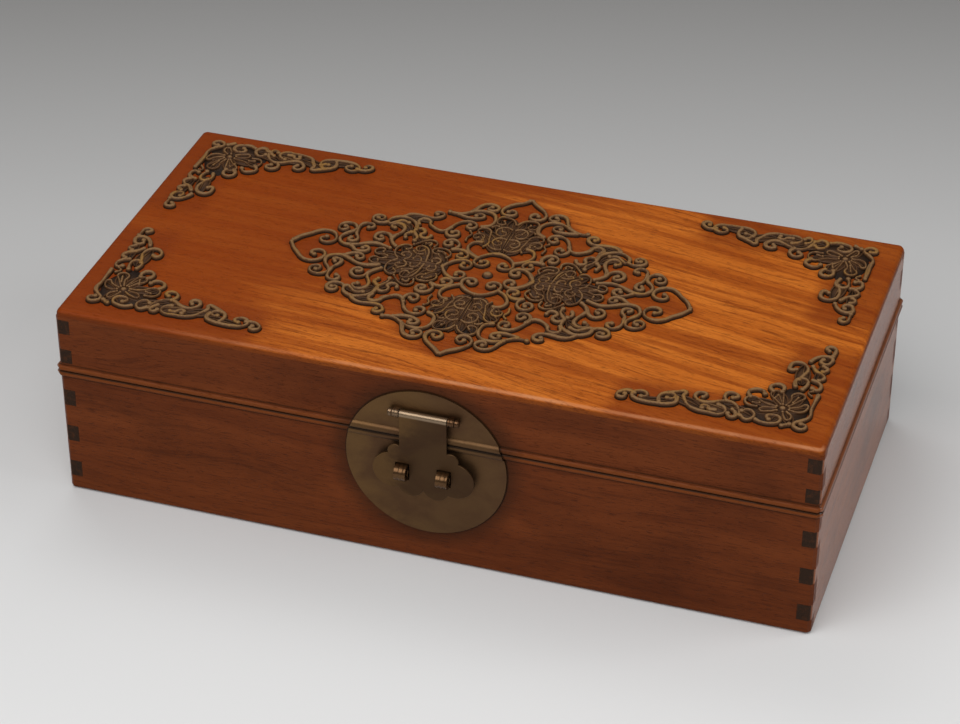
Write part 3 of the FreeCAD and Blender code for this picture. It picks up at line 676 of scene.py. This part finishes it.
# The round lock plate, sawn in two at the seam. It is beaten brass about a millimetre thick,
# gone dark brown, brassier where fingers reach; it is pinned by the tangs that pass through it.
brass_dark = (0.092, 0.045, 0.020)
brass_olive = (0.118, 0.062, 0.026)
brass_bright = (0.165, 0.088, 0.030)
# This pale tint is wear on the fittings and a painted highlight on the hasp's barrel.
brass_wear_and_highlight = (0.300, 0.215, 0.140)
brass_grime_and_seam_shade = (0.014, 0.008, 0.005)
plate_edge = 0.00018
finger_height = 58
barrel_foot = 89.4


def brass_finish(name, rub, lean=0.010, bright=brass_bright, depth=1.0, roughness=0.42, seam_shade_share=0.0,
                 barrel=0.0):
    """Old brass: brown patina in soft clouds, brighter in places from wear, grime in the pits, painted
    shade in the seam and a painted highlight on the top of a barrel.
    """
    finish = Finish(name)
    x, y, z = finish.millimetres()
    cloud = finish.noise(x * 0.03, y * 0.03, z * 0.045, 4.0, 0.6, 0.4)
    speck = finish.noise(x * 0.5, y * 0.5, z * 0.5, 5.0, 0.7)
    brown, olive = [tuple(part * depth for part in tint) for tint in (brass_dark, brass_olive)]
    tone = finish.colours(cloud.step(0.36, 0.64), brown, olive)
    reached = abs(z - finger_height) * 0.006 - x * lean + cloud + speck * 0.2
    tone = finish.colours(reached.step(0.82, 1.15) * rub, tone, bright)
    tone = finish.colours(speck.step(0.66, 0.78) * 0.35, tone, brass_grime_and_seam_shade)
    # A painted highlight along the top half of a barrel, which is also smoother.
    barrel_highlight = z.step(barrel_foot, barrel_foot + 1) * barrel
    tone = finish.colours(barrel_highlight, tone, brass_wear_and_highlight)
    # Painted shade in the seam between the plate's halves.
    tone = finish.colours(abs(z - seam_height).step(1.15, 0.35) * seam_shade_share, tone, brass_grime_and_seam_shade)
    hammer = finish.noise(x * 0.12, y * 0.12, z * 0.12, 2.0, 0.5)
    finish.surface(base_color=tone, metallic=0.9,
                   roughness=roughness + 0.25 * (speck * cloud) - 0.16 * barrel_highlight,
                   normal=finish.relief(hammer + speck * 0.15, 0.00018))
    return finish


# The plate is darkened along its seam as painted shade.
plate_brass = brass_finish("plate brass", 0.5, seam_shade_share=0.95)
for half, body in (("lower", "box"), ("upper", "lid")):
    name = "lock_plate_" + half
    fit(softened(name, plate_edge), body, plate_brass, "plate_brass", name)

# The hasp: a strap with a cloud-shaped head, sawn from sheet brass and rolled round its pin at
# the top. Two slots drop over the staples. Its barrel is polished smooth by the hand that lifts it,
# and a painted highlight lightens its top half.
# The hasp's barrel carries a painted highlight.
hasp_brass = brass_finish("hasp brass", 0.55, lean=0.026, depth=0.62, barrel=0.8)
hasp_edge = 0.00022
fit(softened("hasp", hasp_edge), "hasp", hasp_brass, "fitting_brass", "hasp")

# The two staples for the lock's bar. Each is a thick loop of cast brass with a round nose,
# filed with two grooves; its tang goes through plate and board and is bent over inside.
fitting_brass = brass_finish("fitting brass", 0.8, bright=brass_wear_and_highlight, roughness=0.24)
cast_edge = 0.0002
groove_half = 0.00045
nose_y = -0.1064
staple_z = 0.057


def reeded(name, axis_y, axis_z, groove, depth, reach):
    """A softened copy with two grooves filed round the outside of its round nose."""
    piece = softened(name, cast_edge)
    low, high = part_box(name)
    middle = (low[0] + high[0]) / 2
    body = bmesh.new()
    body.from_mesh(piece.data)
    for line in (middle - groove, middle + groove):
        for lean in (-groove_half, 0.0, groove_half):
            bmesh.ops.bisect_plane(body, geom=body.verts[:] + body.edges[:] + body.faces[:],
                                   plane_co=(line + lean, 0, 0), plane_no=(1, 0, 0))
    axis = Vector((axis_y, axis_z))
    for vertex in body.verts:
        outward = Vector((vertex.co.y, vertex.co.z)) - axis
        in_groove = abs(abs(vertex.co.x - middle) - groove) < 1e-5
        if in_groove and outward.length > reach and vertex.co.y < axis_y + reach:
            outward *= 1 - depth / outward.length
            vertex.co.y, vertex.co.z = axis + outward
    body.to_mesh(piece.data)
    body.free()
    piece.data.shade_smooth()
    piece.data.set_sharp_from_angle(angle=math.radians(25))
    return piece


for name in ("staple_left", "staple_right"):
    staple = reeded(name, nose_y, staple_z, 0.0011, 0.0005, 0.0034)
    fit(staple, "box", fitting_brass, "fitting_brass", name)

# The lugs and the pin that the hasp swings on. The lugs are turned with two rings, and the
# pin's ends are beaten into round heads.
pin_y = -0.1024
pin_z = 0.0905
pin_round = 0.0006
for name in ("hasp_lug_left", "hasp_lug_right"):
    lug = reeded(name, pin_y, pin_z, 0.0008, 0.0004, 0.0021)
    fit(lug, "lid", fitting_brass, "fitting_brass", name)
fit(softened("hasp_pin", pin_round), "lid", fitting_brass, "fitting_brass", "hasp_pin")

# The two hinges on the back: brass leaves with rolled knuckles, each held by small nails with
# square faceted heads driven into the boards.
leaf_brass = brass_finish("hinge brass", 0.2, depth=0.8)
leaf_face = 0.1
nail_half = 0.0013
nail_proud = 0.0006
near_row = 0.0052
far_row = 0.0145
nail_reach = 0.0148
nail_places = ((-nail_reach, near_row), (-nail_reach, far_row), (0.0, far_row),
               (nail_reach, near_row), (nail_reach, far_row))
lie_back = Matrix.Rotation(math.radians(-90), 4, "X") @ Matrix.Rotation(math.radians(45), 4, "Z")
nail_sets = {"box": bmesh.new(), "lid": bmesh.new()}
for side in ("left", "right"):
    for half, body, way in (("base", "box", -1), ("lid", "lid", 1)):
        name = "hinge_" + half + "_leaf_" + side
        fit(softened(name, plate_edge), body, leaf_brass, "fitting_brass", name)
        low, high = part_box(name)
        for across, row in nail_places:
            centre = ((low[0] + high[0]) / 2 + across, leaf_face + nail_proud / 2,
                      seam_height / 1000 + way * row)
            bmesh.ops.create_cone(nail_sets[body], cap_ends=True, segments=4, radius1=nail_half,
                                  radius2=nail_half * 0.25, depth=nail_proud,
                                  matrix=Matrix.Translation(centre) @ lie_back)
for body, heads in nail_sets.items():
    bmesh.ops.recalc_face_normals(heads, faces=heads.faces)
    fit(finished("hinge_nails_" + body, heads), body, fitting_brass, "fitting_brass")

# The stage: a pale sweep of paper under soft light from above; its colour darkens to grey behind as
# painted shade, standing in for the light falling off.
floor_near = (0.755, 0.755, 0.755)
floor_far = (0.112, 0.105, 0.099)
floor_size = 8.0
away = (-0.31, 0.95, 0.0)
floor_body = bmesh.new()
bmesh.ops.create_grid(floor_body, x_segments=1, y_segments=1, size=floor_size / 2)
floor = finished("floor", floor_body)
paper = Finish("paper")
place = paper.node("ShaderNodeTexCoord", output="Object")
distance = paper.node("ShaderNodeVectorMath", {"operation": "DOT_PRODUCT"}, {0: place, 1: away}, "Value")
# The paper's colour goes from the near tint to the far tint as painted shade.
paper.surface(base_color=paper.colours(distance.step(-0.42, 1.05), floor_near, floor_far),
              roughness=0.9)
floor.data.materials.append(paper.material)

world = bpy.data.worlds.new("studio")
bpy.context.scene.world = world
world.use_nodes = True
world.node_tree.nodes["Background"].inputs["Color"].default_value = (0.55, 0.55, 0.54, 1)
world.node_tree.nodes["Background"].inputs["Strength"].default_value = 0.28


def soft_box(name, place, aim, size, energy):
    """A lamp with a wide flat face, its length and breadth given, turned to where it aims."""
    data = bpy.data.lights.new(name, "AREA")
    data.shape = "RECTANGLE"
    data.size, data.size_y = size
    data.energy = energy
    lamp = bpy.data.objects.new(name, data)
    lamp.location = place
    lamp.rotation_euler = (Vector(aim) - Vector(place)).to_track_quat("-Z", "Y").to_euler()
    bpy.context.scene.collection.objects.link(lamp)


soft_box("front box", (-0.15, -1.05, 1.55), aim=(0.0, 0.0, 0.05), size=(2.0, 1.5), energy=30.5)
soft_box("right box", (1.35, 0.15, 1.15), aim=(0.1, 0.0, 0.05), size=(1.0, 1.0), energy=8)
soft_box("back box", (-0.5, 0.7, 1.4), aim=(0.0, 0.0, 0.05), size=(0.9, 0.6), energy=4)

camera_data = bpy.data.cameras.new("camera")
camera_data.sensor_width = 36.0
camera_data.lens = 108.13
camera = bpy.data.objects.new("camera", camera_data)
camera.location = (0.3898, -1.2061, 0.9056)
camera_aim = Vector((-0.25809, 0.79036, -0.55563))
camera.rotation_euler = camera_aim.to_track_quat("-Z", "Y").to_euler()
bpy.context.scene.collection.objects.link(camera)
bpy.context.scene.camera = camera
bpy.context.scene.view_settings.view_transform = "Standard"
